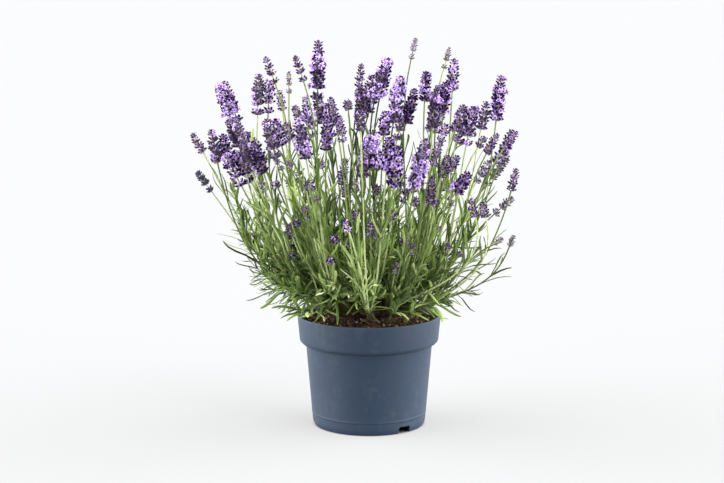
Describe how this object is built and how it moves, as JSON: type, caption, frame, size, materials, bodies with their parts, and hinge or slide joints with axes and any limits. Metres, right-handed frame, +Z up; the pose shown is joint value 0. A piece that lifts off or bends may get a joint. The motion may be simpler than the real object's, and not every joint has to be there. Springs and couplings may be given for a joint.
{
  "type": "potted lavender",
  "caption": "Bushy lavender plant with upright purple flower spikes, growing in soil in a round tapered plastic nursery pot.",
  "frame": {"origin": "centre of the pot's underside, on the surface that the pot stands on", "axes": "+Z up along the pot's axis; -Y towards the viewer of the reference picture; +X to that viewer's right"},
  "size_m": [0.2915, 0.2626, 0.3488],
  "materials": {
    "pot": "satin",
    "soil": "matte",
    "greens": "matte",
    "flowers": "matte"
  },
  "bodies": {
    "root": {"pot": "pot", "soil": "soil", "plant": "greens", "flower_01": "flowers", "flower_02": "flowers", "flower_03": "flowers", "flower_04": "flowers", "flower_05": "flowers", "flower_06": "flowers", "flower_07": "flowers", "flower_08": "flowers", "flower_09": "flowers", "flower_10": "flowers", "flower_11": "flowers", "flower_12": "flowers", "flower_13": "flowers", "flower_14": "flowers", "flower_15": "flowers", "flower_16": "flowers", "flower_17": "flowers", "flower_18": "flowers", "flower_19": "flowers", "flower_20": "flowers", "flower_21": "flowers", "flower_22": "flowers", "flower_23": "flowers", "flower_24": "flowers", "flower_25": "flowers", "flower_26": "flowers", "flower_27": "flowers", "flower_28": "flowers", "flower_29": "flowers", "flower_30": "flowers", "flower_31": "flowers", "flower_32": "flowers", "flower_33": "flowers", "flower_34": "flowers", "flower_35": "flowers", "flower_36": "flowers", "flower_37": "flowers", "flower_38": "flowers", "flower_39": "flowers", "flower_40": "flowers", "flower_41": "flowers", "flower_42": "flowers", "flower_43": "flowers", "flower_44": "flowers", "flower_45": "flowers", "flower_46": "flowers", "flower_47": "flowers", "flower_48": "flowers", "flower_49": "flowers", "flower_50": "flowers", "flower_51": "flowers", "flower_52": "flowers", "flower_53": "flowers", "flower_54": "flowers", "flower_55": "flowers", "flower_56": "flowers", "flower_57": "flowers"}
  },
  "joints": []
}
